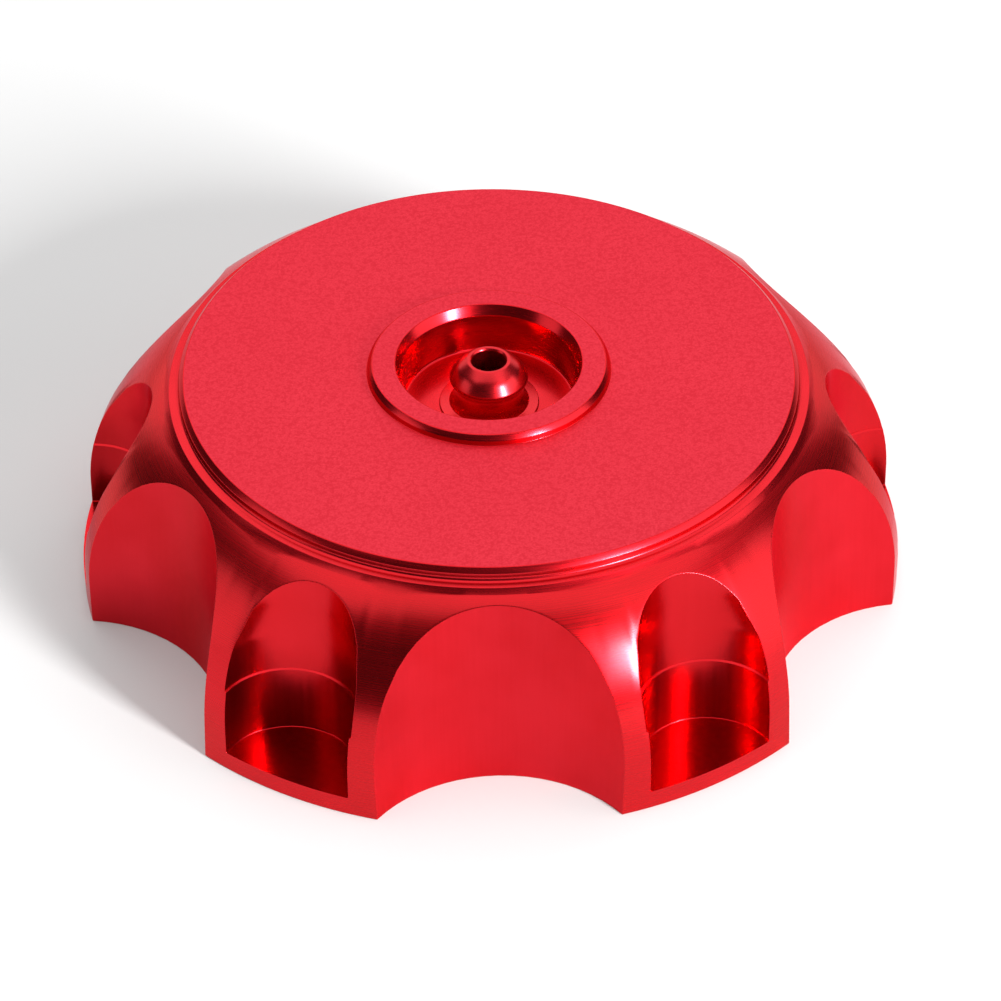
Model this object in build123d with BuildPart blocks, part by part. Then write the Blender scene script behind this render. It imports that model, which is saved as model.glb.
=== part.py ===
from build123d import *
import os
from math import sqrt, tan, radians

# Screw-on filler cap for a motorcycle fuel tank: a scalloped billet aluminium body, a barbed vent
# nipple in the middle of a raised ring, a flat gasket for the filler neck, and a gravity roll-over
# valve that hangs under the web, behind a splash baffle.
# Millimetres. +Z is up, out of the vent. The origin is the centre of the rim's lower plane.

# Outside of the body
outer_r = 41.0
skirt_h = 4.8            # height of the straight skirt, where the convex flank starts
top_z = 23.4
top_flat_r = 30.0
top_bevel = (0.45, 0.5)  # the bevel round the top, across and down
shoulder_fillet = 0.45   # at the foot of the step below the bevel
shoulder_z = 22.1
shoulder_r = 31.45
flank_top = (31.9, 21.6)
edge_break = 0.3

# Six scallops and six pockets, alternating
lobes = 6
scallop_r = 14.6         # at the foot
scallop_draft = 2.0      # degrees that the scallop's wall leans in
scallop_dist = 48.1
pocket_r = 6.95
pocket_dist = 40.1
pocket_floor_z = 2.1
pocket_step_z = 9.4      # a finer finishing cut stops here and leaves a hairline step
pocket_step = 0.2

# Raised ring and hose recess
ring_top_z = 24.4
ring_foot_r = 12.0
ring_edge_r = 11.5
recess_mouth_r = 9.2
recess_top_r = 8.6
recess_floor_r = 8.45
recess_floor_z = 19.35
recess_fillet = 0.35

# Underside of the body
web_z = 16.0             # underside of the top web
thread_root_r = 29.2
thread_crest_r = 28.2
thread_pitch = 4.0
thread_root_w = 2.0      # width of the ridge at its root
thread_crest_w = 0.8
mouth_r = 30.8
relief_r = 30.2          # the run-out groove, which also holds the gasket
relief_z = 11.4

# Vent nipple
vent_bore_r = 1.7
shank_r = 3.5
flange_r = 4.9
flange_seat_z = 18.55
flange_top_z = 19.55
nipple_foot_r = 3.8
waist_r = 3.45
waist_z = 21.0
barb_r = 3.85
barb_land_z = (22.35, 22.75)
nose_r = 2.12
nipple_top_z = 24.6
gland_r = 4.55
gland_z = 17.75

# Roll-over valve
valve_gasket_z = 15.5
plate_r = 12.4
plate_z = 13.5
barrel_r = 5.9
spigot_r = 5.4
spigot_top_z = 5.6
spigot_end_z = 2.2
chamber_r = 3.9
chamber_top_z = 14.3
passage_r = 2.0
window_r = 1.0
window_z = 7.2
windows = 4
seat_bottom_z = 12.7
seat_hole_r = 1.6
seat_lip = 0.9           # the sealing cone, across and up
ball_r = 3.0
ball_rest_z = 8.1
cage_z = (3.95, 5.15)
cage_hole_r = 1.0
cage_vent_r = 0.6
cage_vent_dist = 2.3
cage_vents = 6
clip_t = 0.8
cage_clip_z = 3.15
cage_clip_r = (3.3, 4.4)
baffle_clip_z = 4.0
baffle_clip_r = (4.9, 6.5)
clip_gap = 2.4
clip_eye_r = 0.35

# Valve screws, three off
screws = 3
screw_r = 1.5
screw_pcd_r = 9.1
screw_end_z = 18.2
screw_hole_z = 18.4
screw_clear_r = 1.7
washer_t = 0.5
washer_r = 2.8
head_r = 2.75
head_h = 1.7
hex_af = 2.0
hex_depth = 1.0

# Splash baffle and neck gasket
baffle_t = 0.8
baffle_flat_r = 16.5
baffle_r = 19.0
baffle_rise = 2.5
baffle_holes = 12
baffle_hole_r = 1.1
baffle_hole_dist = 12.5
gasket_r = (24.0, 30.2)
gasket_z = 13.6

os.makedirs("parts", exist_ok=True)


def save(part, node):
    """Label one finished piece and write it as its own STEP file."""
    part.label = node
    export_step(part, f"parts/{node}.step")


def snap_ring(radii, z, outward):
    """One C-shaped retaining ring with two plier eyes; the eyes stand outward or inward."""
    inner, outer = radii
    middle = (inner + outer) / 2
    eye_dist = outer + clip_eye_r if outward else inner - clip_eye_r
    with BuildPart() as ring:
        with BuildSketch(Plane.XY.offset(z)):
            Circle(outer)
            Circle(inner, mode=Mode.SUBTRACT)
            with Locations((middle, 0)):
                Rectangle(2 * (outer - inner), clip_gap, mode=Mode.SUBTRACT)
            with Locations(*[(eye_dist, s * (clip_gap / 2 + clip_eye_r)) for s in (-1, 1)]):
                Circle(2 * clip_eye_r)
            with Locations(*[(eye_dist, s * (clip_gap / 2 + clip_eye_r)) for s in (-1, 1)]):
                Circle(clip_eye_r, mode=Mode.SUBTRACT)
        extrude(amount=clip_t)
    return ring.part


# --- Cap body: one turning, then the scallops, pockets, thread and tapped holes
ring_drop = ring_top_z - top_z
with BuildPart() as cap_body:
    with BuildSketch(Plane.XZ):
        with BuildLine():
            Polyline(
                (shank_r, web_z), (shank_r, gland_z), (gland_r, gland_z), (gland_r, flange_seat_z),
                (flange_r, flange_seat_z), (flange_r, recess_floor_z),
                (recess_floor_r - recess_fillet, recess_floor_z))
            RadiusArc((recess_floor_r - recess_fillet, recess_floor_z),
                      (recess_floor_r, recess_floor_z + recess_fillet), -recess_fillet)
            Polyline(
                (recess_floor_r, recess_floor_z + recess_fillet), (recess_top_r, top_z),
                (recess_mouth_r, ring_top_z), (ring_edge_r, ring_top_z),
                (ring_foot_r - 0.1, ring_top_z - ring_drop / 2), (ring_foot_r, top_z),
                (top_flat_r, top_z), (top_flat_r + top_bevel[0], top_z - top_bevel[1]),
                (top_flat_r + top_bevel[0], shoulder_z + shoulder_fillet))
            RadiusArc((top_flat_r + top_bevel[0], shoulder_z + shoulder_fillet),
                      (top_flat_r + top_bevel[0] + shoulder_fillet, shoulder_z), -shoulder_fillet)
            Polyline(
                (top_flat_r + top_bevel[0] + shoulder_fillet, shoulder_z),
                (shoulder_r, shoulder_z), flank_top)
            # the flank is the one arc that leaves the skirt upright and meets the shoulder's bevel
            across, up = outer_r - flank_top[0], flank_top[1] - skirt_h
            flank_r = (across ** 2 + up ** 2) / (2 * across)
            RadiusArc(flank_top, (outer_r, skirt_h), flank_r)
            Polyline(
                (outer_r, skirt_h), (outer_r, edge_break), (outer_r - edge_break, 0), (mouth_r, 0),
                (thread_root_r, mouth_r - thread_root_r), (thread_root_r, web_z), (shank_r, web_z))
        make_face()
    revolve(axis=Axis.Z)
    with PolarLocations(scallop_dist, lobes, start_angle=30):
        Cone(scallop_r, scallop_r + top_z * tan(radians(scallop_draft)), top_z,
             align=(Align.CENTER, Align.CENTER, Align.MIN), mode=Mode.SUBTRACT)
    with BuildSketch(Plane.XY.offset(pocket_step_z)):
        with PolarLocations(pocket_dist, lobes):
            Circle(pocket_r)
    extrude(amount=top_z, mode=Mode.SUBTRACT)
    with BuildSketch(Plane.XY.offset(pocket_floor_z)):
        with PolarLocations(pocket_dist, lobes):
            Circle(pocket_r - pocket_step)
    extrude(amount=top_z, mode=Mode.SUBTRACT)
    # female thread: a ridge on the bore, trimmed by the mouth's cone and the run-out groove
    with BuildLine() as turn:
        Helix(pitch=thread_pitch, height=3.5 * thread_pitch, radius=thread_root_r,
              center=(0, 0, -thread_pitch / 4))
    with BuildSketch(Plane(origin=turn.line @ 0, x_dir=(1, 0, 0), z_dir=turn.line % 0)):
        with BuildLine():
            Polyline(
                (0.5, -thread_root_w / 2), (0, -thread_root_w / 2),
                (thread_crest_r - thread_root_r, -thread_crest_w / 2),
                (thread_crest_r - thread_root_r, thread_crest_w / 2),
                (0, thread_root_w / 2), (0.5, thread_root_w / 2), close=True)
        make_face()
    sweep(path=turn.line, is_frenet=True)
    with BuildSketch(Plane.XZ):
        with BuildLine():
            Polyline((0, -top_z), (outer_r, -top_z), (outer_r, 0), (mouth_r, 0),
                     (thread_crest_r - 0.2, mouth_r - thread_crest_r + 0.2),
                     (0, mouth_r - thread_crest_r + 0.2), close=True)
        make_face()
    revolve(axis=Axis.Z, mode=Mode.SUBTRACT)
    with BuildSketch(Plane.XY.offset(relief_z)):
        Circle(relief_r)
    extrude(amount=web_z - relief_z, mode=Mode.SUBTRACT)
    with BuildSketch(Plane.XY.offset(web_z)):
        with PolarLocations(screw_pcd_r, screws, start_angle=90):
            Circle(screw_r)
    extrude(amount=screw_hole_z - web_z, mode=Mode.SUBTRACT)
save(cap_body.part, "cap_body")

# --- Vent nipple: flanged, bored through, with a hose barb
with BuildPart() as vent_nipple:
    with BuildSketch(Plane.XZ):
        with BuildLine():
            Polyline(
                (vent_bore_r, web_z), (shank_r, web_z), (shank_r, flange_seat_z),
                (flange_r, flange_seat_z), (flange_r, flange_top_z - 0.1),
                (flange_r - 0.1, flange_top_z), (nipple_foot_r, flange_top_z))
            ThreePointArc((nipple_foot_r, flange_top_z),
                          (waist_r + 0.1, flange_top_z + 0.6), (waist_r, waist_z))
            Polyline((waist_r, waist_z), (barb_r, barb_land_z[0]), (barb_r, barb_land_z[1]))
            ThreePointArc((barb_r, barb_land_z[1]), (3.2, 23.75), (nose_r, nipple_top_z))
            Polyline((nose_r, nipple_top_z), (vent_bore_r + 0.15, nipple_top_z),
                     (vent_bore_r, nipple_top_z - 0.15), (vent_bore_r, web_z))
        make_face()
    revolve(axis=Axis.Z)
save(vent_nipple.part, "vent_nipple")

# --- O-ring under the nipple's flange, squeezed into its gland
with BuildPart() as nipple_o_ring:
    with BuildSketch(Plane.XZ):
        with Locations(((shank_r + gland_r) / 2, (gland_z + flange_seat_z) / 2)):
            RectangleRounded(gland_r - shank_r, flange_seat_z - gland_z, 0.35)
    revolve(axis=Axis.Z)
save(nipple_o_ring.part, "nipple_o_ring")

# --- Neck gasket, held by its outer edge in the run-out groove
with BuildPart() as neck_gasket:
    with BuildSketch(Plane.XY.offset(gasket_z)):
        Circle(gasket_r[1])
        Circle(gasket_r[0], mode=Mode.SUBTRACT)
    extrude(amount=web_z - gasket_z)
    chamfer(neck_gasket.edges().filter_by(GeomType.CIRCLE).group_by(SortBy.RADIUS)[0], 0.3)
save(neck_gasket.part, "neck_gasket")

# --- Gasket between the valve's plate and the web
with BuildPart() as valve_gasket:
    with BuildSketch(Plane.XY.offset(valve_gasket_z)):
        Circle(plate_r)
        Circle(shank_r, mode=Mode.SUBTRACT)
        with PolarLocations(screw_pcd_r, screws, start_angle=90):
            Circle(screw_clear_r, mode=Mode.SUBTRACT)
    extrude(amount=web_z - valve_gasket_z)
save(valve_gasket.part, "valve_gasket")

# --- Valve housing: screw plate, barrel with side windows, spigot with two clip grooves
with BuildPart() as valve_housing:
    with BuildSketch(Plane.XZ):
        with BuildLine():
            Polyline(
                (passage_r, valve_gasket_z), (plate_r, valve_gasket_z), (plate_r, plate_z + 0.3),
                (plate_r - 0.3, plate_z), (barrel_r, plate_z), (barrel_r, spigot_top_z),
                (spigot_r, spigot_top_z), (spigot_r, baffle_clip_z + clip_t),
                (baffle_clip_r[0], baffle_clip_z + clip_t), (baffle_clip_r[0], baffle_clip_z),
                (spigot_r, baffle_clip_z), (spigot_r, spigot_end_z), (chamber_r, spigot_end_z),
                (chamber_r, cage_clip_z), (cage_clip_r[1], cage_clip_z),
                (cage_clip_r[1], cage_clip_z + clip_t), (chamber_r, cage_clip_z + clip_t),
                (chamber_r, chamber_top_z), (passage_r, chamber_top_z),
                (passage_r, valve_gasket_z))
        make_face()
    revolve(axis=Axis.Z)
    with Locations(*[Plane(origin=(0, 0, window_z)) * Rot(0, 90, 360 / windows * i + 45)
                     for i in range(windows)]):
        Cylinder(window_r, barrel_r + 1, align=(Align.CENTER, Align.CENTER, Align.MIN),
                 mode=Mode.SUBTRACT)
    with BuildSketch(Plane.XY.offset(plate_z)):
        with PolarLocations(screw_pcd_r, screws, start_angle=90):
            Circle(screw_clear_r)
    extrude(amount=valve_gasket_z - plate_z, mode=Mode.SUBTRACT)
save(valve_housing.part, "valve_housing")

# --- Valve seat: an elastomer insert with a sealing cone that faces the ball
with BuildPart() as valve_seat:
    with BuildSketch(Plane.XZ):
        with BuildLine():
            Polyline(
                (seat_hole_r, chamber_top_z), (chamber_r, chamber_top_z), (chamber_r, seat_bottom_z),
                (seat_hole_r + seat_lip, seat_bottom_z), (seat_hole_r, seat_bottom_z + seat_lip),
                close=True)
        make_face()
    revolve(axis=Axis.Z)
save(valve_seat.part, "valve_seat")

# --- Check ball, resting just above its cage
with BuildPart() as check_ball:
    with Locations((0, 0, ball_rest_z)):
        Sphere(ball_r)
save(check_ball.part, "check_ball")

# --- Ball cage: a drilled disc under the ball
with BuildPart() as ball_cage:
    with BuildSketch(Plane.XY.offset(cage_z[0])):
        Circle(chamber_r)
        Circle(cage_hole_r, mode=Mode.SUBTRACT)
        with PolarLocations(cage_vent_dist, cage_vents):
            Circle(cage_vent_r, mode=Mode.SUBTRACT)
    extrude(amount=cage_z[1] - cage_z[0])
save(ball_cage.part, "ball_cage")

save(snap_ring(cage_clip_r, cage_clip_z, outward=False), "cage_clip")
save(snap_ring(baffle_clip_r, baffle_clip_z, outward=True), "baffle_clip")

# --- Splash baffle: a drilled sheet disc with a turned-up rim
with BuildPart() as splash_baffle:
    rim_slope = (baffle_r - baffle_flat_r) / baffle_rise
    rim_across = baffle_t * sqrt(1 + rim_slope ** 2)
    with BuildSketch(Plane.XZ):
        with BuildLine():
            low, high = spigot_top_z - baffle_t, spigot_top_z
            Polyline(
                (spigot_r, low), (baffle_flat_r, low), (baffle_r, low + baffle_rise),
                (baffle_r - rim_across, low + baffle_rise),
                (baffle_flat_r - rim_across + rim_slope * baffle_t, high), (spigot_r, high),
                close=True)
        make_face()
    revolve(axis=Axis.Z)
    with BuildSketch(Plane.XY.offset(low)):
        with PolarLocations(baffle_hole_dist, baffle_holes):
            Circle(baffle_hole_r)
    extrude(amount=baffle_t, mode=Mode.SUBTRACT)
save(splash_baffle.part, "splash_baffle")

# --- Valve screws: button heads with hex sockets
with BuildPart() as valve_screws:
    head_top_z = plate_z - washer_t
    with BuildSketch(Plane.XY.offset(head_top_z - head_h)):
        with PolarLocations(screw_pcd_r, screws, start_angle=90):
            Circle(head_r)
    extrude(amount=head_h)
    fillet(valve_screws.edges().group_by(Axis.Z)[0], 0.8)
    with BuildSketch(Plane.XY.offset(head_top_z)):
        with PolarLocations(screw_pcd_r, screws, start_angle=90):
            Circle(screw_r)
    extrude(amount=screw_end_z - head_top_z)
    with BuildSketch(Plane.XY.offset(head_top_z - head_h)):
        with PolarLocations(screw_pcd_r, screws, start_angle=90):
            RegularPolygon(hex_af / 2, 6, major_radius=False)
    extrude(amount=hex_depth, mode=Mode.SUBTRACT)
save(valve_screws.part, "valve_screws")

# --- Split spring washers under the screw heads
with BuildPart() as lock_washers:
    with BuildSketch(Plane.XY.offset(plate_z - washer_t)):
        with PolarLocations(screw_pcd_r, screws, start_angle=90):
            Circle(washer_r)
            Circle(screw_r, mode=Mode.SUBTRACT)
            with Locations((washer_r, 0)):
                Rectangle(washer_r, 0.5, rotation=20, mode=Mode.SUBTRACT)
    extrude(amount=washer_t)
save(lock_washers.part, "lock_washers")
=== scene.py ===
"""Screw-on motorcycle fuel cap in red anodised billet aluminium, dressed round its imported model.

The body, the vent nipple and the neck gasket are surfaces worked out with numpy; the other pieces
keep their own shapes and get finishes. Sizes are in millimetres and become metres when a mesh is
made. The cap stands on z = 0 with its vent along +Z, and the middle of a scallop faces -Y.
"""
import logging
from dataclasses import dataclass, field
from enum import Enum

import bmesh
import bpy
import numpy as np
from mathutils import Matrix, Vector


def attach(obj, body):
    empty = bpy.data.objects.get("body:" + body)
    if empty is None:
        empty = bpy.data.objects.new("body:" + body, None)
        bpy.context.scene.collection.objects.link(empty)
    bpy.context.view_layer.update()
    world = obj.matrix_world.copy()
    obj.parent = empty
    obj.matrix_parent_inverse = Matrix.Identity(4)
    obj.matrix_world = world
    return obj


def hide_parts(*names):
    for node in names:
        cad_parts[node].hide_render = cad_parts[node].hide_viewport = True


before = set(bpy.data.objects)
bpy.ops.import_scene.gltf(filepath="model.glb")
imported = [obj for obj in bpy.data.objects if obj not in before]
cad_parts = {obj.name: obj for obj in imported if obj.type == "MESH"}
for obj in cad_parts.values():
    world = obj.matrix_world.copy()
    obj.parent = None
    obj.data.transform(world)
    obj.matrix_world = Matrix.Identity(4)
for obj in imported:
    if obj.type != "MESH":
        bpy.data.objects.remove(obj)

MM = 0.001
LOG = logging.getLogger("fuel_cap")
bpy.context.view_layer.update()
CAP_BODY = "cap"


# ---------------------------------------------------------------- meshes

class MeshSheets:
    """Collects grids and flat faces, and welds them into one mesh with one material slot each."""

    def __init__(self) -> None:
        """Start with no sheets."""
        self.points: list[np.ndarray] = []
        self.faces: list[np.ndarray] = []
        self.flats: list[np.ndarray] = []
        self.face_slots: list[np.ndarray] = []
        self.flat_slots: list[int] = []
        self.count = 0

    def grid(self, surface: np.ndarray, slot: int | np.ndarray = 0, flip: bool = False) -> None:
        """Add a surface given on a grid of two parameters.

        Args:
            surface: points, shape (rows, columns, 3), in millimetres.
            slot: the material slot, one number or one for each row of faces.
            flip: turn the faces the other way round.
        """
        rows, cols = surface.shape[:2]
        index = np.arange(rows * cols).reshape(rows, cols) + self.count
        quad = np.stack([index[:-1, :-1], index[:-1, 1:], index[1:, 1:], index[1:, :-1]], axis=-1)
        quad = quad[..., ::-1] if flip else quad
        slots = np.broadcast_to(np.asarray(slot).reshape(-1, 1), (rows - 1, cols - 1))
        self.points.append(surface.reshape(-1, 3))
        self.faces.append(quad.reshape(-1, 4))
        self.face_slots.append(slots.reshape(-1))
        self.count += rows * cols

    def flat(self, outline: np.ndarray, slot: int = 0, flip: bool = False) -> None:
        """Add one flat face, given its outline, shape (corners, 3)."""
        index = np.arange(len(outline)) + self.count
        self.points.append(outline)
        self.flats.append(index[::-1] if flip else index)
        self.flat_slots.append(slot)
        self.count += len(outline)

    def build(self, name: str, weld: float = 0.0015, sharp: float = 38.0) -> bpy.types.Object:
        """Weld the sheets and make the object.

        Args:
            name: the piece's name.
            weld: points nearer than this become one, in millimetres.
            sharp: edges that turn by more than this many degrees stay crisp.

        Returns:
            The new object, at the origin, with smooth faces weighted by their area.
        """
        mesh = bpy.data.meshes.new(name)
        quads = np.concatenate(self.faces)
        faces = quads.tolist() + [f.tolist() for f in self.flats]
        mesh.from_pydata((np.concatenate(self.points) * MM).tolist(), [], faces)
        slots = np.concatenate([*self.face_slots, np.array(self.flat_slots, int)]).astype(np.int32)
        mesh.polygons.foreach_set("material_index", slots)
        welded = bmesh.new()
        welded.from_mesh(mesh)
        bmesh.ops.remove_doubles(welded, verts=welded.verts[:], dist=weld * MM)
        bmesh.ops.dissolve_degenerate(welded, edges=welded.edges[:], dist=weld * MM / 4)
        open_edges = sum(1 for e in welded.edges if not e.is_manifold)
        welded.to_mesh(mesh)
        welded.free()
        mesh.polygons.foreach_set("use_smooth", np.ones(len(mesh.polygons), bool))
        mesh.set_sharp_from_angle(angle=np.radians(sharp))
        piece = bpy.data.objects.new(name, mesh)
        bpy.context.scene.collection.objects.link(piece)
        weighted = piece.modifiers.new("area_weighted_normals", "WEIGHTED_NORMAL")
        weighted.keep_sharp = True
        LOG.info("%s: %d faces, %d open edges", name, len(mesh.polygons), open_edges)
        return piece


def rounded(corners: list[tuple[float, float, float]], steps: int = 4) -> np.ndarray:
    """Round the corners of an open profile.

    Each corner is replaced by the quadratic curve from the point one radius before it to the point
    one radius after it, with the corner as its control point, so both sides run on tangent.

    Args:
        corners: (radius from the axis, height, rounding) for each corner, in millimetres.
        steps: how many pieces each rounding has.

    Returns:
        The profile's points, shape (n, 2).
    """
    points = np.array([c[:2] for c in corners], float)
    out = [points[:1]]
    t = np.linspace(0, 1, steps + 1)[:, None]
    for before, corner, after, (_, _, size) in zip(points, points[1:], points[2:], corners[1:-1]):
        if size <= 0:
            out.append(corner[None])
            continue
        arms = [(p - corner) / np.linalg.norm(p - corner) for p in (before, after)]
        start, end = (corner + arm * size for arm in arms)
        out.append((1 - t) ** 2 * start + 2 * t * (1 - t) * corner + t ** 2 * end)
    out.append(points[-1:])
    return np.concatenate(out)


def turned(profile: np.ndarray, azimuth: np.ndarray) -> np.ndarray:
    """Turn a profile (radius, height) about +Z: x = r cos a, y = r sin a, z = z.

    Args:
        profile: shape (rows, 2).
        azimuth: the columns' angles in radians, the last a full turn after the first.

    Returns:
        The surface's points, shape (rows, columns, 3).
    """
    r, z = profile[:, :1], profile[:, 1:]
    return np.stack([r * np.cos(azimuth), r * np.sin(azimuth), z + 0 * azimuth], axis=-1)


def full_turn(columns: int) -> np.ndarray:
    """Angles of evenly spaced columns round a full turn, with the first repeated at the end."""
    return np.linspace(0, 2 * np.pi, columns + 1)


def lathe(name: str, corners: list[tuple[float, float, float]],
          columns: int) -> bpy.types.Object:
    """Make a turned piece from a closed profile that ends where it starts.

    Args:
        name: the piece's name.
        corners: the profile's corners as rounded() takes them, counter-clockwise.
        columns: how many pieces the full turn has.

    Returns:
        The new object.
    """
    sheets = MeshSheets()
    sheets.grid(turned(rounded(corners), full_turn(columns)))
    return sheets.build(name)


# ---------------------------------------------------------------- finishes

class Lay(Enum):
    """The way the tool marks run on a machined surface."""

    RINGS = "circles round the axis"
    UPRIGHT = "straight up the wall"
    NONE = "no direction"


# How far the marks' noise moves along them: metres for each radian, and for each metre of height
RING_RUN = 0.0004
UPRIGHT_RUN = 0.02


class Nodes:
    """A small helper that adds shader nodes to one material and links them."""

    def __init__(self, name: str) -> None:
        """Make a fresh material with a Principled shader."""
        self.material = bpy.data.materials.new(name)
        self.material.use_nodes = True
        self.tree = self.material.node_tree
        self.shader = self.tree.nodes["Principled BSDF"]

    def add(self, kind: str, **settings: object) -> bpy.types.Node:
        """Add a node and set its plain properties."""
        node = self.tree.nodes.new(kind)
        for key, value in settings.items():
            setattr(node, key, value)
        return node

    def link(self, source: bpy.types.NodeSocket, target: bpy.types.NodeSocket) -> None:
        """Join an output to an input."""
        self.tree.links.new(source, target)

    def math(self, operation: str, a: object, b: object = None) -> bpy.types.NodeSocket:
        """Add a Math node; each operand is a number or another node's output."""
        node = self.add("ShaderNodeMath", operation=operation)
        for socket, value in zip(node.inputs, (a, b)):
            if isinstance(value, bpy.types.NodeSocket):
                self.link(value, socket)
            elif value is not None:
                socket.default_value = value
        return node.outputs[0]

    def noise(self, vector: bpy.types.NodeSocket, scale: float, detail: float = 2.0,
              roughness: float = 0.5) -> bpy.types.NodeSocket:
        """Add a 3-D noise of about one cell each 1 / scale metres."""
        node = self.add("ShaderNodeTexNoise", noise_dimensions="3D")
        self.link(vector, node.inputs["Vector"])
        node.inputs["Scale"].default_value = scale
        node.inputs["Detail"].default_value = detail
        node.inputs["Roughness"].default_value = roughness
        return node.outputs["Fac"]

    def spread(self, value: bpy.types.NodeSocket, low: float, high: float, to_low: float,
               to_high: float) -> bpy.types.NodeSocket:
        """Map a value from one range to another, held at both ends."""
        node = self.add("ShaderNodeMapRange", clamp=True)
        self.link(value, node.inputs["Value"])
        for key, number in (("From Min", low), ("From Max", high), ("To Min", to_low),
                            ("To Max", to_high)):
            node.inputs[key].default_value = number
        return node.outputs["Result"]

    def place(self) -> bpy.types.NodeSocket:
        """The object coordinates, in metres."""
        return self.add("ShaderNodeTexCoord").outputs["Object"]

    def tool_marks(self, lay: Lay) -> bpy.types.NodeSocket:
        """Coordinates that keep still along the tool marks, so noise on them draws the marks.

        RINGS: (distance from the axis, height, angle * RING_RUN). UPRIGHT: (x, y, height *
        UPRIGHT_RUN). NONE: the plain coordinates.
        """
        place = self.place()
        if lay is Lay.NONE:
            return place
        split = self.add("ShaderNodeSeparateXYZ")
        self.link(place, split.inputs[0])
        x, y, z = split.outputs
        join = self.add("ShaderNodeCombineXYZ")
        if lay is Lay.RINGS:
            squares = self.math("ADD", self.math("MULTIPLY", x, x), self.math("MULTIPLY", y, y))
            self.link(self.math("SQRT", squares), join.inputs[0])
            self.link(z, join.inputs[1])
            self.link(self.math("MULTIPLY", self.math("ARCTAN2", y, x), RING_RUN), join.inputs[2])
        else:
            self.link(x, join.inputs[0])
            self.link(y, join.inputs[1])
            self.link(self.math("MULTIPLY", z, UPRIGHT_RUN), join.inputs[2])
        return join.outputs[0]

    def bump(self, *layers: tuple[bpy.types.NodeSocket, float]) -> None:
        """Stack bumps on the shader's normal; each layer is a height and its depth in metres."""
        normal = None
        for height, depth in layers:
            node = self.add("ShaderNodeBump")
            node.inputs["Strength"].default_value = 1.0
            node.inputs["Distance"].default_value = depth
            self.link(height, node.inputs["Height"])
            if normal is not None:
                self.link(normal, node.inputs["Normal"])
            normal = node.outputs["Normal"]
        self.link(normal, self.shader.inputs["Normal"])


@dataclass(frozen=True)
class Anodised:
    """Dyed anodic layer on machined aluminium.

    The dye shades the metal's own reflection; the sealed layer over it gives a thin clear gloss.
    The tone shifts between deep and dye with the tool marks, a soft cloud and, on a blasted face,
    dark flecks. Sizes and depths are in millimetres.
    """

    name: str
    dye: tuple[float, float, float] = (0.66, 0.006, 0.015)
    deep: tuple[float, float, float] = (0.57, 0.003, 0.009)
    edge_tint: tuple[float, float, float] = (0.95, 0.40, 0.45)
    roughness: tuple[float, float] = (0.24, 0.34)
    lay: Lay = Lay.RINGS
    mark_size: float = 0.10
    mark_depth: float = 0.00035
    grain_depth: float = 0.0
    mark_tone: float = 0.3
    speckle: float = 0.0
    coat: float = 0.08
    coat_roughness: float = 0.18
    coat_index: float = 1.55
    cloud_size: float = 9.0
    fleck_size: float = 0.42
    grain_size: float = 0.22

    def material(self) -> bpy.types.Material:
        """Build the shader: dye and roughness follow the tool marks, with grain and speckles."""
        n = Nodes(self.name)
        place = n.place()
        marks = n.noise(n.tool_marks(self.lay), 1 / (self.mark_size * MM), 3.0, 0.55)
        cloud = n.noise(place, 1 / (self.cloud_size * MM), 2.0)
        tone = n.math("ADD", n.math("MULTIPLY", marks, self.mark_tone),
                      n.math("MULTIPLY", cloud, 1 - self.mark_tone))
        if self.speckle > 0:
            flecks = n.noise(place, 1 / (self.fleck_size * MM), 3.0, 0.68)
            flecks = n.spread(flecks, 0.46, 0.68, 0, 1)
            tone = n.math("SUBTRACT", tone, n.math("MULTIPLY", flecks, self.speckle))
        mix = n.add("ShaderNodeMix", data_type="RGBA")
        n.link(n.spread(tone, 0.30, 0.66, 0, 1), mix.inputs["Factor"])
        mix.inputs["A"].default_value = (*self.deep, 1)
        mix.inputs["B"].default_value = (*self.dye, 1)
        n.link(mix.outputs["Result"], n.shader.inputs["Base Color"])
        n.link(n.spread(marks, 0.3, 0.7, *self.roughness), n.shader.inputs["Roughness"])
        n.shader.inputs["Metallic"].default_value = 1.0
        n.shader.inputs["Specular Tint"].default_value = (*self.edge_tint, 1)
        n.shader.inputs["Coat Weight"].default_value = self.coat
        n.shader.inputs["Coat Roughness"].default_value = self.coat_roughness
        n.shader.inputs["Coat IOR"].default_value = self.coat_index
        layers = [(marks, self.mark_depth * MM)]
        if self.grain_depth > 0:
            grain = n.noise(place, 1 / (self.grain_size * MM), 3.0, 0.6)
            layers.append((grain, self.grain_depth * MM))
        n.bump(*layers)
        return n.material


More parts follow.
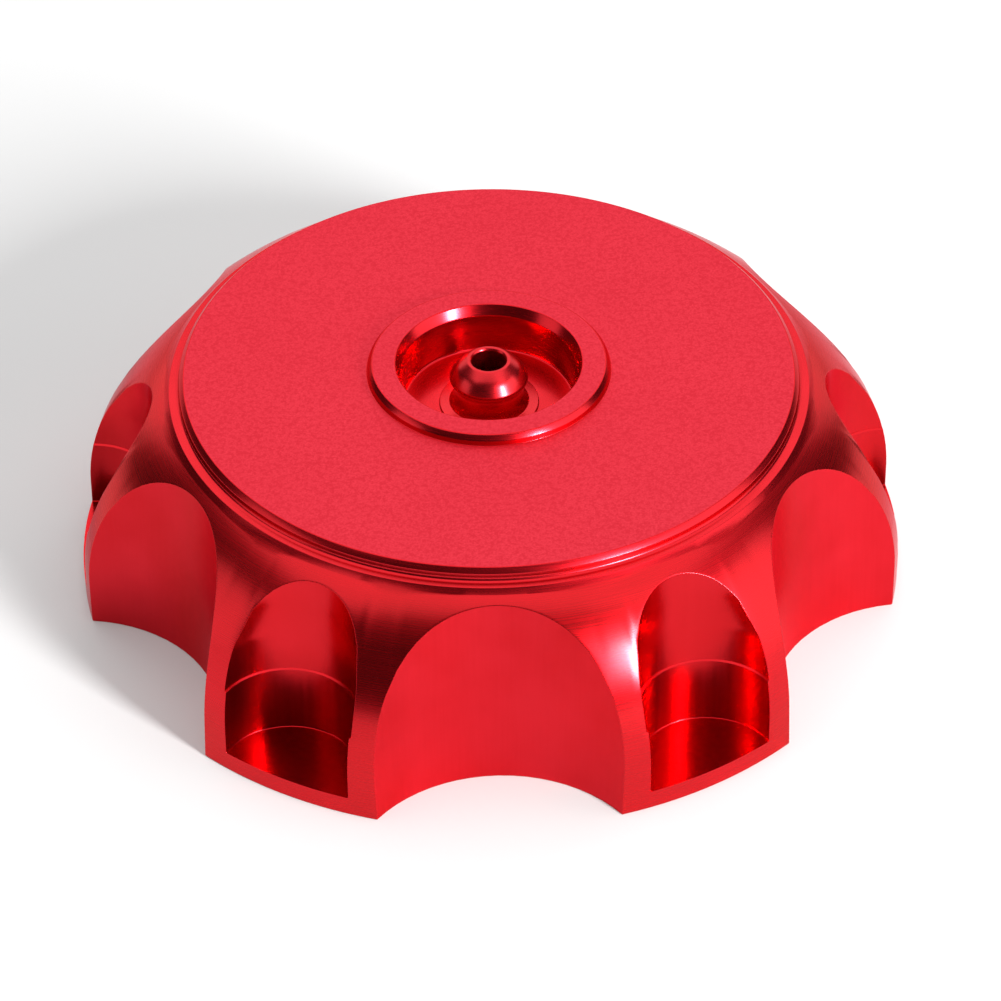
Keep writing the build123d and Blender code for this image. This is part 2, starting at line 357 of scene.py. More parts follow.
@dataclass(frozen=True)
class BareMetal:
    """Uncoated machined, stamped or polished metal; sizes and depths are in millimetres."""

    name: str
    color: tuple[float, float, float]
    dull: tuple[float, float, float]
    roughness: tuple[float, float]
    lay: Lay = Lay.RINGS
    mark_size: float = 0.12
    mark_depth: float = 0.0006
    mark_tone: float = 0.4
    stain_size: float = 2.6

    def material(self) -> bpy.types.Material:
        """Build the shader: tool marks and faint stains shift the colour and the roughness."""
        n = Nodes(self.name)
        place = n.place()
        marks = n.noise(n.tool_marks(self.lay), 1 / (self.mark_size * MM), 3.0, 0.55)
        stains = n.noise(place, 1 / (self.stain_size * MM), 4.0, 0.65)
        mix = n.add("ShaderNodeMix", data_type="RGBA")
        tone = n.math("ADD", n.math("MULTIPLY", marks, self.mark_tone),
                      n.math("MULTIPLY", stains, 1 - self.mark_tone))
        n.link(n.spread(tone, 0.34, 0.62, 0, 1), mix.inputs["Factor"])
        mix.inputs["A"].default_value = (*self.dull, 1)
        mix.inputs["B"].default_value = (*self.color, 1)
        n.link(mix.outputs["Result"], n.shader.inputs["Base Color"])
        n.link(n.spread(stains, 0.3, 0.7, *self.roughness), n.shader.inputs["Roughness"])
        n.shader.inputs["Metallic"].default_value = 1.0
        n.bump((marks, self.mark_depth * MM))
        return n.material


@dataclass(frozen=True)
class Rubber:
    """Moulded fuel-proof rubber with a fine mould texture and a little bloom."""

    name: str
    color: tuple[float, float, float]
    bloom: tuple[float, float, float]
    roughness: tuple[float, float] = (0.42, 0.62)
    grain: float = 0.35
    grain_depth: float = 0.012
    patch_size: float = 5.0

    def material(self) -> bpy.types.Material:
        """Build the shader: bloom lies in soft patches over the grain."""
        n = Nodes(self.name)
        place = n.place()
        patches = n.noise(place, 1 / (self.patch_size * MM), 4.0, 0.6)
        grain = n.noise(place, 1 / (self.grain * MM), 3.0, 0.6)
        mix = n.add("ShaderNodeMix", data_type="RGBA")
        n.link(n.spread(patches, 0.45, 0.75, 0, 1), mix.inputs["Factor"])
        mix.inputs["A"].default_value = (*self.color, 1)
        mix.inputs["B"].default_value = (*self.bloom, 1)
        n.link(mix.outputs["Result"], n.shader.inputs["Base Color"])
        n.link(n.spread(patches, 0.3, 0.7, *self.roughness), n.shader.inputs["Roughness"])
        n.bump((grain, self.grain_depth * MM))
        return n.material


# ---------------------------------------------------------------- cap body

LOBES = 6


class Skin(Enum):
    """The body's machined surfaces, each with its own finish."""

    FLANK = 0
    SCALLOP = 1
    POCKET = 2
    TOP = 3
    BRIGHT = 4
    INSIDE = 5


@dataclass(frozen=True)
class Cutter:
    """An upright round cutter that takes a scallop or a pocket out of the flank.

    dist is how far the cutter's axis stands from the cap's, and radius is the cut's at z = 0. The
    wall leans in by draft degrees. It widens by step over step_h at step_z, and foot is the
    rounding between it and the floor.
    """

    dist: float
    radius: float
    floor: float
    draft: float = 0.0
    step_z: float = 0.0
    step: float = 0.0
    step_h: float = 0.12
    foot: float = 0.0

    def radius_at(self, z: np.ndarray) -> np.ndarray:
        """The cut's radius at a height: smaller below the step, and round at the foot."""
        r = self.radius + z * np.tan(np.radians(self.draft))
        r = r - self.step * (1 - np.clip((z - self.step_z) / self.step_h + 0.5, 0, 1))
        if self.foot > 0:
            up = np.clip((z - self.floor) / self.foot, 0, 1)
            r = r - self.foot * (1 - np.sqrt(1 - (1 - up) ** 2))
        return r

    def half_angle(self, r: np.ndarray, z: np.ndarray) -> np.ndarray:
        """Angle at the cap's axis from the cut's middle to its edge on a circle of radius r."""
        cut = self.radius_at(z)
        return np.arccos(np.clip((r ** 2 + self.dist ** 2 - cut ** 2) / (2 * r * self.dist), -1, 1))


@dataclass(frozen=True)
class Flank:
    """The body's outer side: an upright skirt, then one arc that leans in to the shoulder.

    A place on it is (azimuth, run), where run is the length up the profile from z = 0.
    """

    outer_r: float = 41.0
    skirt: float = 4.8
    top_r: float = 31.9
    top_z: float = 21.6

    @property
    def arc(self) -> float:
        """Radius of the arc that is upright at the skirt's top and passes the shoulder's edge."""
        across, up = self.outer_r - self.top_r, self.top_z - self.skirt
        return (across ** 2 + up ** 2) / (2 * across)

    @property
    def top_run(self) -> float:
        """The run at the shoulder's edge."""
        return self.skirt + self.arc * np.arcsin((self.top_z - self.skirt) / self.arc)

    def profile(self, run: np.ndarray) -> tuple[np.ndarray, np.ndarray]:
        """Radius and height at a run."""
        turn = np.maximum(run - self.skirt, 0) / self.arc
        r = self.outer_r - self.arc * (1 - np.cos(turn))
        return r, np.minimum(run, self.skirt) + self.arc * np.sin(turn)

    def run_at_radius(self, r: np.ndarray) -> np.ndarray:
        """The run where the arc has this radius."""
        return self.skirt + self.arc * np.arccos(1 - (self.outer_r - r) / self.arc)

    def run_at_height(self, z: np.ndarray) -> np.ndarray:
        """The run at a height."""
        lean = np.arcsin(np.clip((z - self.skirt) / self.arc, 0, 1))
        return np.minimum(z, self.skirt) + self.arc * lean

    def surface(self, azimuth: np.ndarray, run: np.ndarray) -> np.ndarray:
        """Points at (azimuth, run)."""
        r, z = self.profile(run)
        return np.stack([r * np.cos(azimuth), r * np.sin(azimuth), z], axis=-1)

    def outward(self, azimuth: np.ndarray, run: np.ndarray) -> np.ndarray:
        """The outward normal at (azimuth, run)."""
        turn = np.maximum(run - self.skirt, 0) / self.arc
        return np.stack([np.cos(turn) * np.cos(azimuth), np.cos(turn) * np.sin(azimuth),
                         np.sin(turn)], axis=-1)


# Rows from the foot up to the pocket's floor
LIP_ROWS = 3

# How many times a cut's arch is worked out; each is some twelve times nearer than the last
ARCH_ROUNDS = 6


@dataclass
class CutEdge:
    """The edge where a cutter leaves the flank, from the foot up to the top of its arch.

    on_flank and on_wall are the two sides of the edge's small rounding, as points; sharp is the
    edge itself. Only the half with y >= 0 is held, with the cut's middle on +X.
    """

    sharp: np.ndarray
    on_flank: np.ndarray
    on_wall: np.ndarray

    @classmethod
    def of(cls, flank: Flank, cut: Cutter, runs: np.ndarray, arch: int, size: float) -> "CutEdge":
        """Work out the edge.

        Up to the last run the edge is where the circle of the flank meets the cut at that height.
        From there to the top of the arch the half-angle shrinks evenly to nothing, and the radius
        is the near root of r^2 - 2 r d cos a + d^2 - c^2 = 0, found again a few times because the
        cut's own radius c changes with the height. The lowest rows count as upright, which keeps
        both sides of their rounding at one height, so the sheets beside them meet.

        Args:
            flank: the surface that is cut.
            cut: the cutter.
            runs: runs of the lower stretch, from the foot up.
            arch: how many pieces the arch above them has.
            size: distance from the edge to each side of the rounding.
        """
        r, z = flank.profile(runs)
        angle = cut.half_angle(r, z)
        arch_angle = angle[-1] * (1 - np.arange(1, arch + 1) / arch)
        dist, arch_z = cut.dist, np.full(arch, flank.top_z)
        for _ in range(ARCH_ROUNDS):
            near = cut.radius_at(arch_z) ** 2 - (dist * np.sin(arch_angle)) ** 2
            arch_r = dist * np.cos(arch_angle) - np.sqrt(near)
            arch_z = flank.profile(flank.run_at_radius(arch_r))[1]
        angle = np.concatenate([angle, arch_angle])
        run = np.concatenate([runs, flank.run_at_radius(arch_r)])
        sharp = flank.surface(angle, run)
        along = np.gradient(sharp, axis=0)
        along[-1] = (0, -1, 0)
        along[:LIP_ROWS] = (0, 0, 1)
        along /= np.linalg.norm(along, axis=1, keepdims=True)
        across = np.cross(along, flank.outward(angle, run))
        to_flank = sharp + size * across
        turn = np.arctan2(to_flank[:, 1], to_flank[:, 0])
        on_flank = flank.surface(turn, flank.run_at_height(to_flank[:, 2]))
        inward = np.array([dist, 0.0, 0.0]) - sharp * (1, 1, 0)
        inward /= np.linalg.norm(inward, axis=1, keepdims=True)
        to_wall = sharp - size * np.cross(along, inward)
        on_wall = cut_wall(cut, np.arctan2(to_wall[:, 1], dist - to_wall[:, 0]), to_wall[:, 2])
        return cls(sharp, on_flank, on_wall)

    def rounding(self, steps: int) -> np.ndarray:
        """The rounded edge: for each row, the quadratic curve from the wall to the flank."""
        t = np.linspace(0, 1, steps + 1)[None, :, None]
        return ((1 - t) ** 2 * self.on_wall[:, None] + 2 * t * (1 - t) * self.sharp[:, None]
                + t ** 2 * self.on_flank[:, None])


def cut_wall(cut: Cutter, turn: np.ndarray, z: np.ndarray) -> np.ndarray:
    """Points on a cut's wall: turn is the angle at the cutter's axis from the cap's middle."""
    r = cut.radius_at(z)
    return np.stack([cut.dist - r * np.cos(turn), r * np.sin(turn), z + 0 * turn], axis=-1)


@dataclass
class CapBody:
    """The billet body: flank, six scallops, six pockets, top, ring, recess and neck thread.

    One twelfth of the cap, from the middle of a scallop to the middle of the next pocket, is worked
    out; the rest are its turned and mirrored copies.
    """

    flank: Flank = field(default_factory=Flank)
    scallop: Cutter = Cutter(dist=48.1, radius=14.6, floor=0.0, draft=2.0)
    pocket: Cutter = Cutter(dist=40.1, radius=6.95, floor=2.1, step_z=9.4, step=0.2, foot=0.14)
    edge: float = 0.045
    foot_edge: float = 0.2
    fold_z: float = 14.0
    wall_cols: int = 10
    pocket_cols: int = 10
    edge_cols: int = 3
    pillar_cols: int = 4
    crown_rows: int = 12
    thread_crest_r: float = 28.2
    thread_root_r: float = 29.2
    thread_pitch: float = 4.0
    thread_start_z: float = -1.0
    thread_zone: tuple[float, float] = (1.6, 11.4)
    thread_turns: int = 5
    thread_fade: tuple[float, float] = (1.0, 0.6)
    foot_rows: int = 4
    rim_rows: int = 3

    @property
    def sector(self) -> float:
        """Angle of one twelfth, from a scallop's middle to a pocket's."""
        return np.pi / LOBES

    def low_runs(self) -> np.ndarray:
        """Runs of the rows that scallop, pillar and pocket share, from the foot to the fold."""
        pocket = self.pocket
        foot = pocket.floor + pocket.foot * np.array([0, 0.08, 0.25, 0.55, 1.0])
        step = pocket.step_z + pocket.step_h * np.array([-0.5, 0.5])
        heights = np.concatenate([
            [self.foot_edge, 1.1], foot, [3.4, self.flank.skirt, 6.0, 7.2, 8.3], step,
            [10.4, 11.4, 12.3, 13.2, self.fold_z]])
        return self.flank.run_at_height(heights)

    def copies(self, sheets: MeshSheets, surface: np.ndarray, skin: Skin, flip: bool) -> None:
        """Add the twelve turned and mirrored copies of one twelfth's sheet."""
        for mirrored in (False, True):
            side = surface * ((1, -1, 1) if mirrored else (1, 1, 1))
            for k in range(LOBES):
                turn = k * 2 * np.pi / LOBES - np.pi / 2
                c, s = np.cos(turn), np.sin(turn)
                spin = np.array([[c, s, 0], [-s, c, 0], [0, 0, 1]])
                placed = side @ spin
                if surface.ndim == 3:
                    sheets.grid(placed, skin.value, flip=flip != mirrored)
                else:
                    sheets.flat(placed, skin.value, flip=flip != mirrored)

    def from_pocket(self, points: np.ndarray) -> np.ndarray:
        """Move points from the pocket's own frame, its middle on +X, into the twelfth's frame."""
        c, s = np.cos(self.sector), np.sin(self.sector)
        x, y, z = points[..., 0], -points[..., 1], points[..., 2]
        return np.stack([c * x - s * y, s * x + c * y, z], axis=-1)

    def build_outside(self, sheets: MeshSheets) -> tuple[np.ndarray, np.ndarray]:
        """Add the flank, scallops and pockets.

        Returns:
            The azimuths of the columns at the shoulder, and the outline at the foot, both for one
            twelfth, from the scallop's middle to the pocket's.
        """
        flank, runs = self.flank, self.low_runs()
        floor_row = LIP_ROWS - 1
        arch_s, arch_p = self.wall_cols + self.edge_cols, self.pocket_cols
        scallop = CutEdge.of(flank, self.scallop, runs, arch_s, self.edge)
        pocket = CutEdge.of(flank, self.pocket, runs[floor_row:], arch_p, self.edge)
        share = np.linspace(0, 1, self.wall_cols + 1)

        # walls: each row runs at one height from the cut's middle to the edge's rounding
        for cut, edge, cols, moved in ((self.scallop, scallop, share, False),
                                       (self.pocket, pocket,
                                        np.linspace(0, 1, self.pocket_cols + 1), True)):
            turn = np.arctan2(edge.on_wall[:, 1], cut.dist - edge.on_wall[:, 0])
            height = edge.on_wall[:, 2:3] + 0 * cols
            wall = cut_wall(cut, turn[:, None] * cols, height)
            rim = edge.rounding(self.edge_cols)
            if moved:
                wall, rim = self.from_pocket(wall), self.from_pocket(rim)
            skin = Skin.POCKET if moved else Skin.SCALLOP
            self.copies(sheets, wall, skin, flip=moved)
            self.copies(sheets, rim, Skin.FLANK, flip=moved)
            if moved:
                pocket_wall, pocket_rim = wall, rim
            else:
                scallop_wall, scallop_rim = wall, rim

        def place(points: np.ndarray) -> tuple[np.ndarray, np.ndarray]:
            """Azimuth and run of points on the flank."""
            return (np.arctan2(points[:, 1], points[:, 0]), flank.run_at_height(points[:, 2]))

        left_turn, left_run = place(scallop.on_flank)
        right_turn, right_run = place(self.from_pocket(pocket.on_flank))
        rows = len(runs)
        across = np.linspace(0, 1, self.pillar_cols + 1)

        # pillar between scallop and pocket, from the pocket's floor up to the fold
        turn_a, run_a = left_turn[floor_row:rows, None], left_run[floor_row:rows, None]
        turn_b, run_b = right_turn[:rows - floor_row, None], right_run[:rows - floor_row, None]
        pillar = flank.surface(turn_a + (turn_b - turn_a) * across,
                               run_a + (run_b - run_a) * across)
        self.copies(sheets, pillar, Skin.FLANK, flip=False)

        # lip below the pocket's floor
        front = np.linspace(turn_b[0, 0], self.sector, self.pocket_cols + 1)
        side, lip_runs = left_turn[:LIP_ROWS, None], runs[:LIP_ROWS, None]
        lip_turns = np.hstack([side + (turn_b[0] - side) * across, front[1:] + 0 * side])
        lip = flank.surface(lip_turns, lip_runs + 0 * lip_turns)
        self.copies(sheets, lip, Skin.FLANK, flip=False)

        # pocket floor: wall foot, rounded corner, then back along the lip's edge
        floor = np.concatenate([pocket_wall[0], pocket_rim[0, 1:], lip[-1, self.pillar_cols + 1:]])
        self.copies(sheets, floor, Skin.POCKET, flip=False)

        # crown: columns from the two arches and the fold up to the shoulder
        def starts(left: np.ndarray, right: np.ndarray) -> np.ndarray:
            """Values at the columns' lower ends: one arch, the fold, the other arch."""
            fold_a, fold_b = left[rows - 1], right[rows - floor_row - 1]
            fold = fold_a + (fold_b - fold_a) * across
            return np.concatenate([left[rows - 1:][::-1], fold[1:], right[rows - floor_row:]])

        starts_turn, starts_run = starts(left_turn, right_turn), starts(left_run, right_run)
        rise = np.linspace(0, 1, self.crown_rows + 1)[:, None]
        crown = flank.surface(starts_turn + 0 * rise,
                              starts_run + (flank.top_run - starts_run) * rise)
        self.copies(sheets, crown, Skin.FLANK, flip=False)
        outline = np.concatenate([scallop_wall[0], scallop_rim[0, 1:], lip[0, 1:]])
        return starts_turn, outline

    def all_round(self, turns: np.ndarray) -> np.ndarray:
        """The columns' azimuths round the whole cap, from one twelfth's, first repeated last."""
        pair = np.concatenate([turns, 2 * self.sector - turns[-2::-1]])
        steps = (np.arange(LOBES) * 2 * np.pi / LOBES - np.pi / 2)[:, None]
        return np.append((steps + pair[:-1]).ravel(), 2 * np.pi - np.pi / 2)

    def outline_all_round(self, outline: np.ndarray) -> np.ndarray:
        """The foot's outline round the whole cap, from one twelfth's, first point repeated."""
        r = np.hypot(outline[:, 0], outline[:, 1])
        turn = np.arctan2(outline[:, 1], outline[:, 0])
        radius = np.append(np.tile(np.concatenate([r, r[-2::-1]])[:-1], LOBES), r[0])
        turn = self.all_round(turn)
        return np.stack([radius * np.cos(turn), radius * np.sin(turn), 0 * turn + self.foot_edge],
                        axis=-1)

    def top_profile(self) -> tuple[np.ndarray, np.ndarray]:
        """The turned profile from the shoulder over the top into the nipple's hole, with skins."""
        stretches = [
            (Skin.BRIGHT, [(self.flank.top_r, self.flank.top_z, 0), (31.45, 22.1, .06),
                           (30.45, 22.1, .45), (30.45, 22.9, .06), (30.0, 23.4, .07),
                           (29.92, 23.4, 0)]),
            (Skin.TOP, [(29.92, 23.4, 0), (27.0, 23.4, 0), (20.0, 23.4, 0), (13.5, 23.4, 0),
                        (12.07, 23.4, 0)]),
            (Skin.BRIGHT, [(12.07, 23.4, 0), (12.0, 23.4, .06), (11.9, 23.9, .1),
                           (11.5, 24.4, .09), (11.4, 24.4, 0)]),
            (Skin.TOP, [(11.4, 24.4, 0), (10.3, 24.4, 0), (9.3, 24.4, 0)]),
            (Skin.BRIGHT, [(9.3, 24.4, 0), (9.2, 24.4, .09), (8.6, 23.4, .1), (8.45, 21.5, 0),
                           (8.45, 19.35, .32), (7.0, 19.35, 0), (4.9, 19.35, .04),
                           (4.9, 18.55, 0), (4.55, 18.55, 0), (4.55, 17.75, 0),
                           (3.5, 17.75, 0), (3.5, 16.0, 0)]),
            (Skin.INSIDE, [(3.5, 16.0, 0), (12.0, 16.0, 0), (24.0, 16.0, 0), (30.2, 16.0, .1),
                           (30.2, self.thread_zone[1], .05),
                           (self.thread_root_r, self.thread_zone[1], 0)]),
        ]
        points, skins = [], []
        for skin, corners in stretches:
            part = rounded(corners)
            points.append(part if not points else part[1:])
            skins += [skin.value] * (len(points[-1]) - (len(points) == 1))
        return np.concatenate(points), np.array(skins)

    def thread(self, azimuth: np.ndarray) -> np.ndarray:
        """The bore with its female thread, from the run-out groove down to the mouth's cone.

        A row is one line of the ridge's section, so it climbs one pitch in each turn:
        z = start + pitch * (turn + section place + azimuth / full turn), held within the zone. The
        radius is the root's less the ridge's height, which fades out over the ends.
        """
        low, high = self.thread_zone
        section = np.array([-.5, -.36, -.27, -.245, -.22, -.13, -.105, -.08, 0, .08, .105, .13, .22,
                            .245, .27, .36])
        ridge = np.interp(np.abs(section), [0, .08, .105, .245, .27, .5], [1, 1, .93, .07, 0, 0])
        turns = np.arange(self.thread_turns)[::-1, None] - 1.0
        place = (turns + section[::-1]).ravel()[:, None]
        height = np.tile(ridge[::-1], self.thread_turns)[:, None]
        climb = (azimuth - azimuth[0]) / (2 * np.pi) + (azimuth[0] % (2 * np.pi)) / (2 * np.pi)
        free = self.thread_start_z + self.thread_pitch * (place + climb)
        z = np.clip(free, low, high)
        fade_low, fade_high = self.thread_fade
        fade = np.clip((z - low) / fade_low, 0, 1) * np.clip((high - z) / fade_high, 0, 1)
        fade = fade * fade * (3 - 2 * fade)
        r = self.thread_root_r - (self.thread_root_r - self.thread_crest_r) * height * fade
        top = np.stack([r[0] * 0 + self.thread_root_r, z[0] * 0 + high])
        r = np.vstack([top[:1], r, top[:1]])
        z = np.vstack([top[1:], z, top[1:] * 0 + low])
        return np.stack([r * np.cos(azimuth), r * np.sin(azimuth), z], axis=-1)

    def build(self) -> bpy.types.Object:
        """Build the whole body."""
        sheets = MeshSheets()
        turns, outline = self.build_outside(sheets)
        azimuth = self.all_round(turns)
        profile, skins = self.top_profile()
        sheets.grid(turned(profile, azimuth), skins)
        sheets.grid(self.thread(azimuth), Skin.INSIDE.value)
        mouth = rounded([(self.thread_root_r, self.thread_zone[0], 0), (30.7, 0.1, 0),
                         (30.8, 0.0, 0), (31.1, 0.0, 0)])
        mouth_sheet = turned(mouth, azimuth)
        sheets.grid(mouth_sheet, Skin.INSIDE.value)

        # the foot: the outline's rounding, then the flat rim in to the mouth; the rounding runs
        # toward the axis, so its columns can't cross at the scallops' sharp corners
        ring = self.outline_all_round(outline)
        corner = ring * (1, 1, 0)
        inward = -corner / np.linalg.norm(corner, axis=1, keepdims=True)
        t = np.linspace(0, 1, self.foot_rows + 1)[:, None, None]
        rounding = ((1 - t) ** 2 * ring + 2 * t * (1 - t) * corner
                    + t ** 2 * (corner + self.foot_edge * inward))
        sheets.grid(rounding[::-1], Skin.FLANK.value)
        share = np.linspace(0, 1, self.rim_rows + 1)[:, None, None]
        rim = mouth_sheet[-1] + (rounding[-1] - mouth_sheet[-1]) * share
        sheets.grid(rim, Skin.FLANK.value)
        return sheets.build("cap_body_machined")


# ---------------------------------------------------------------- other pieces

@dataclass(frozen=True)
class VentNipple:
    """The barbed hose nipple: flange, waist, barb, domed nose and bore."""

    bore: float = 1.7
    shank: float = 3.5
    flange: float = 4.9
    foot: float = 3.8
    waist: float = 3.45
    barb: float = 3.85
    nose: float = 2.12
    top: float = 24.6

    def build(self) -> bpy.types.Object:
        """Turn the nipple's section."""
        return lathe("vent_nipple_turned", [
            (self.bore, 16.0, 0), (self.shank, 16.0, 0), (self.shank, 18.55, 0),
            (self.flange, 18.55, 0), (self.flange, 19.55, .08), (self.foot + .1, 19.55, .1),
            (self.waist, 20.4, .5), (self.waist, 21.6, .5), (self.barb, 22.38, .03),
            (self.barb, 22.66, .14), (3.1, 23.78, .4), (self.nose, self.top, .09),
            (self.bore + .14, self.top, .07), (self.bore, self.top - .2, .07),
            (self.bore, 18.0, 0),
            (self.bore, 16.0, 0)], columns=144)


@dataclass(frozen=True)
class NeckGasket:
    """The flat neck gasket, with the faint ring that a filler neck presses into it."""

    inner: float = 24.0
    outer: float = 30.19
    low: float = 13.6
    high: float = 16.0
    dent: float = 0.12

    def build(self) -> bpy.types.Object:
        """Turn the gasket's section."""
        return lathe("neck_gasket_moulded", [
            (self.inner, self.low + .3, 0), (self.inner + .3, self.low, .12), (25.3, self.low, .15),
            (25.6, self.low + self.dent, .15), (28.6, self.low + self.dent, .15),
            (28.9, self.low, .15), (self.outer, self.low, .2), (self.outer, self.high, .2),
            (self.inner + .3, self.high, .12), (self.inner, self.high - .3, .12),
            (self.inner, self.low + .3, 0)], columns=200)


def dress(piece: bpy.types.Object, *materials: bpy.types.Material) -> None:
    """Give a piece its materials, in slot order."""
    for index, material in enumerate(materials):
        if index < len(piece.material_slots):
            piece.material_slots[index].material = material
        else:
            piece.data.materials.append(material)


def stand_for(piece: bpy.types.Object, node: str) -> None:
    """Let a new piece ride on the cap and stand for a CAD node, which it hides."""
    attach(piece, CAP_BODY)
    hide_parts(node)


RED_FLANK = Anodised("red_turned_flank", roughness=(0.25, 0.30), mark_size=0.11,
                     mark_depth=0.0004, mark_tone=0.25, coat=0.32, coat_roughness=0.22,
                     dye=(0.64, 0.002, 0.009), deep=(0.56, 0.002, 0.006))
RED_SCALLOP = Anodised("red_milled_scallop", roughness=(0.39, 0.43), lay=Lay.UPRIGHT,
                       mark_size=0.3, mark_depth=0.0002, mark_tone=0.2, coat=0.18,
                       coat_roughness=0.3, dye=(0.65, 0.010, 0.021))
RED_POCKET = Anodised("red_bored_pocket", roughness=(0.22, 0.27), lay=Lay.UPRIGHT, mark_size=0.6,
                      mark_depth=0.0002, mark_tone=0.2, dye=(0.65, 0.014, 0.022),
                      deep=(0.56, 0.009, 0.013))
RED_TOP = Anodised("red_blasted_top", roughness=(0.50, 0.56), lay=Lay.NONE, mark_size=0.2,
                   mark_depth=0.001, grain_depth=0.0025, mark_tone=0.9, speckle=0.30, coat=0.20,
                   coat_roughness=0.45, dye=(0.71, 0.032, 0.056), deep=(0.58, 0.014, 0.031))
RED_BRIGHT = Anodised("red_bright_cut", roughness=(0.22, 0.28), mark_size=0.07, mark_depth=0.0002,
                      coat=0.26, coat_roughness=0.2)
RED_INSIDE = Anodised("red_inside_cut", roughness=(0.28, 0.38), mark_size=0.2, mark_depth=0.0006)
RED_NIPPLE = Anodised("red_turned_nipple", roughness=(0.26, 0.32), mark_size=0.06,
                      mark_depth=0.0003, coat=0.4, coat_roughness=0.24)

VALVE_FINISHES = {
    "valve_housing": BareMetal("turned_aluminium", (.80, .80, .81), (.66, .66, .68), (.26, .38)),
    "check_ball": BareMetal("polished_ball", (.70, .70, .71), (.60, .60, .61), (.05, .09),
                            lay=Lay.NONE, mark_size=0.8, mark_depth=0.00005),
    "ball_cage": BareMetal("turned_brass", (.83, .62, .26), (.62, .42, .15), (.24, .36)),
    "cage_clip": BareMetal("oiled_spring_steel", (.22, .21, .20), (.10, .09, .085), (.3, .45),
                           lay=Lay.NONE, mark_size=0.3),
    "baffle_clip": BareMetal("oiled_spring_steel_large", (.22, .21, .20), (.10, .09, .085),
                             (.3, .45), lay=Lay.NONE, mark_size=0.3),
    "splash_baffle": BareMetal("stamped_stainless", (.66, .66, .67), (.54, .54, .54), (.28, .40),
                               mark_size=0.3, mark_depth=0.0008),
    "valve_screws": BareMetal("stainless_screw", (.62, .62, .63), (.46, .46, .46), (.28, .40),
                              lay=Lay.NONE, mark_size=0.25),
    "lock_washers": BareMetal("spring_washer", (.50, .49, .47), (.34, .33, .31), (.32, .46),
                              lay=Lay.NONE, mark_size=0.25),
    "nipple_o_ring": Rubber("o_ring_rubber", (.016, .016, .017), (.03, .03, .03), (.30, .45)),
    "valve_gasket": Rubber("valve_gasket_fibre", (.035, .035, .037), (.06, .06, .06)),
    "valve_seat": Rubber("brown_seat_elastomer", (.10, .035, .02), (.13, .05, .03), (.4, .5)),
}


# ---------------------------------------------------------------- studio

@dataclass(frozen=True)
class Softbox:
    """A rectangular studio light aimed at the cap; places are turned about the cap's axis.

    The power follows from the brightness of its face: watts = brightness * pi * width * height.
    """

    name: str
    azimuth: float
    elevation: float
    distance: float
    size: tuple[float, float]
    brightness: float

    def build(self, aim: Vector) -> None:
        """Hang the light, facing the aim point.

        Azimuth 0 is at the camera's side and positive to its right, in degrees.
        """
        turn, lift = np.radians(self.azimuth), np.radians(self.elevation)
        way = Vector((np.sin(turn) * np.cos(lift), -np.cos(turn) * np.cos(lift), np.sin(lift)))
        data = bpy.data.lights.new(self.name, "AREA")
        data.shape, data.size, data.size_y = "RECTANGLE", *self.size
        data.energy = self.brightness * np.pi * self.size[0] * self.size[1]
        light = bpy.data.objects.new(self.name, data)
        light.location = aim + way * self.distance
        light.rotation_euler = way.to_track_quat("Z", "Y").to_euler()
        light.visible_camera = False
        bpy.context.scene.collection.objects.link(light)


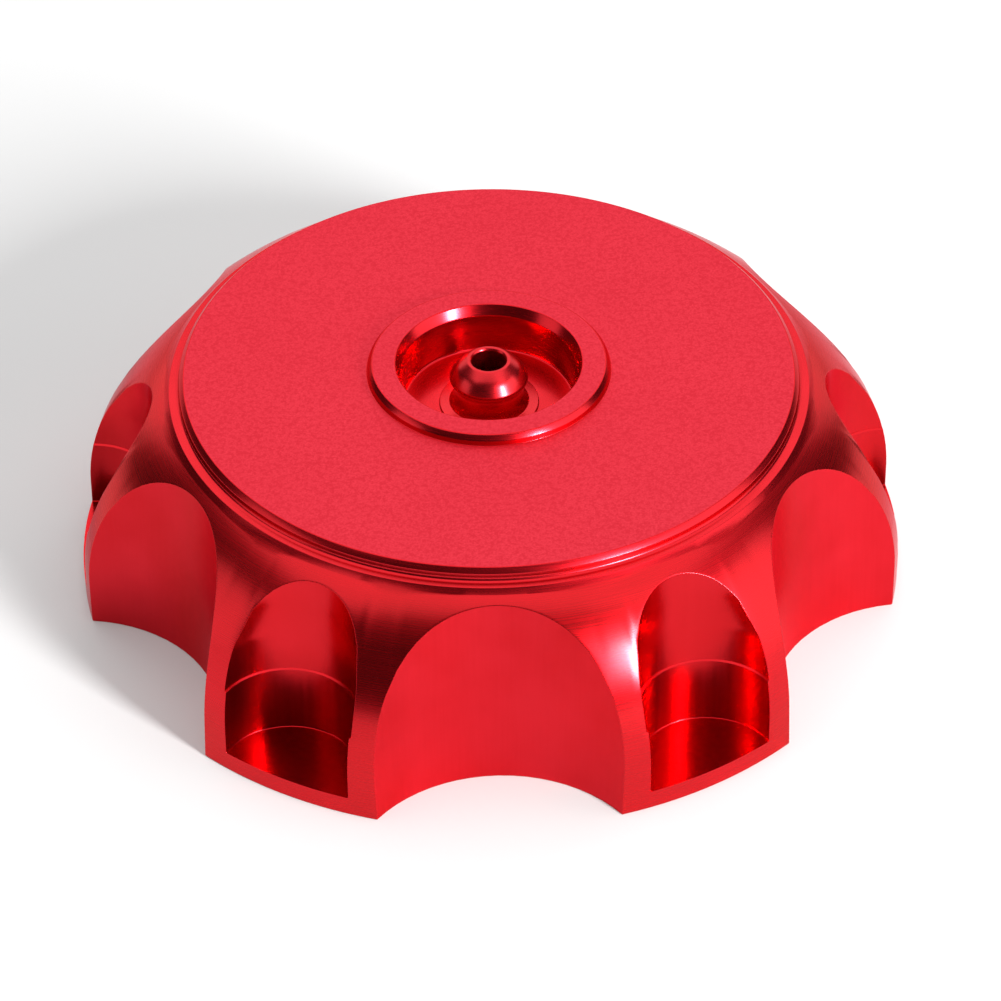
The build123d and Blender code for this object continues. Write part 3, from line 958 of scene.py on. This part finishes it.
@dataclass(frozen=True)
class Studio:
    """Floor, world, lights and camera: angles in degrees, lengths in metres.

    aim is how far the camera's aim point lies to the right of the axis, and its height; light_aim
    is the height that the lights face. The lens is in millimetres.
    """

    elevation: float = 39.62
    azimuth: float = -1.0
    roll: float = -0.52
    distance: float = 0.4985
    lens: float = 178.7
    aim: tuple[float, float] = (0.00103, 0.00664)
    light_aim: float = 0.012
    floor_half: float = 3.0
    floor_grey: float = 0.58
    floor_glow: float = 0.12
    world_glow: float = 0.06

    def build_camera(self) -> None:
        """Place the camera by its elevation, azimuth, roll and distance from the aim point."""
        e, a, roll = (np.radians(v) for v in (self.elevation, self.azimuth, self.roll))
        back = Vector((np.sin(a) * np.cos(e), -np.cos(a) * np.cos(e), np.sin(e)))
        level = Vector((np.cos(a), np.sin(a), 0))
        over = level.cross(-back)
        right = np.cos(roll) * level + np.sin(roll) * over
        up = -np.sin(roll) * level + np.cos(roll) * over
        data = bpy.data.cameras.new("camera")
        data.lens, data.sensor_width = self.lens, 36.0
        camera = bpy.data.objects.new("camera", data)
        place = level * self.aim[0] + Vector((0, 0, self.aim[1])) + back * self.distance
        turn = Matrix((right, up, back)).transposed().to_4x4()
        camera.matrix_world = Matrix.Translation(place) @ turn
        bpy.context.scene.collection.objects.link(camera)
        bpy.context.scene.camera = camera

    def build_floor(self) -> None:
        """A plain pale floor."""
        half = self.floor_half
        mesh = bpy.data.meshes.new("floor")
        mesh.from_pydata([(-half, -half, 0), (half, -half, 0), (half, half, 0), (-half, half, 0)],
                         [], [(0, 1, 2, 3)])
        floor = bpy.data.objects.new("floor", mesh)
        bpy.context.scene.collection.objects.link(floor)
        paint = Nodes("pale_floor")
        paint.shader.inputs["Base Color"].default_value = (*[self.floor_grey] * 3, 1)
        paint.shader.inputs["Roughness"].default_value = 0.9
        paint.shader.inputs["Emission Color"].default_value = (1, 1, 1, 1)
        paint.shader.inputs["Emission Strength"].default_value = self.floor_glow
        mesh.materials.append(paint.material)

    def build_world(self) -> None:
        """Even, dim light from all round."""
        world = bpy.data.worlds.new("studio")
        world.use_nodes = True
        world.node_tree.nodes["Background"].inputs["Color"].default_value = (1, 1, 1, 1)
        world.node_tree.nodes["Background"].inputs["Strength"].default_value = self.world_glow
        bpy.context.scene.world = world

    def build_lights(self) -> None:
        """A ceiling softbox, a dim one behind, one at each side and a small bright key."""
        aim = Vector((0, 0, self.light_aim))
        for light in (
                Softbox("ceiling", 180, 80, 0.95, (1.9, 1.6), 1.32),
                Softbox("behind", 180, 22, 1.1, (2.4, 0.8), 1.15),
                Softbox("left", -77, 12, 0.9, (0.44, 0.56), 1.15),
                Softbox("right", 78, 16, 0.9, (0.56, 0.68), 1.8),
                Softbox("key", 43, 24, 0.85, (0.13, 0.22), 150)):
            light.build(aim)

    def build(self) -> None:
        """Build the camera first, then the set."""
        self.build_camera()
        self.build_world()
        self.build_floor()
        self.build_lights()
        bpy.context.scene.view_settings.view_transform = "Standard"


def main() -> None:
    """Build the studio, the body and the other pieces, and finish the carried-over nodes."""
    logging.basicConfig(level=logging.INFO, format="%(name)s %(message)s")
    Studio().build()
    body = CapBody().build()
    dress(body, *[f.material() for f in (RED_FLANK, RED_SCALLOP, RED_POCKET, RED_TOP, RED_BRIGHT,
                                         RED_INSIDE)])
    stand_for(body, "cap_body")
    nipple = VentNipple().build()
    dress(nipple, RED_NIPPLE.material())
    stand_for(nipple, "vent_nipple")
    gasket = NeckGasket().build()
    dress(gasket, Rubber("gasket_rubber", (.022, .022, .023), (.045, .045, .045)).material())
    stand_for(gasket, "neck_gasket")
    for node, finish in VALVE_FINISHES.items():
        dress(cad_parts[node], finish.material())
        LOG.info("%s: finished as %s", node, finish.name)


if __name__ == "__main__":
    main()
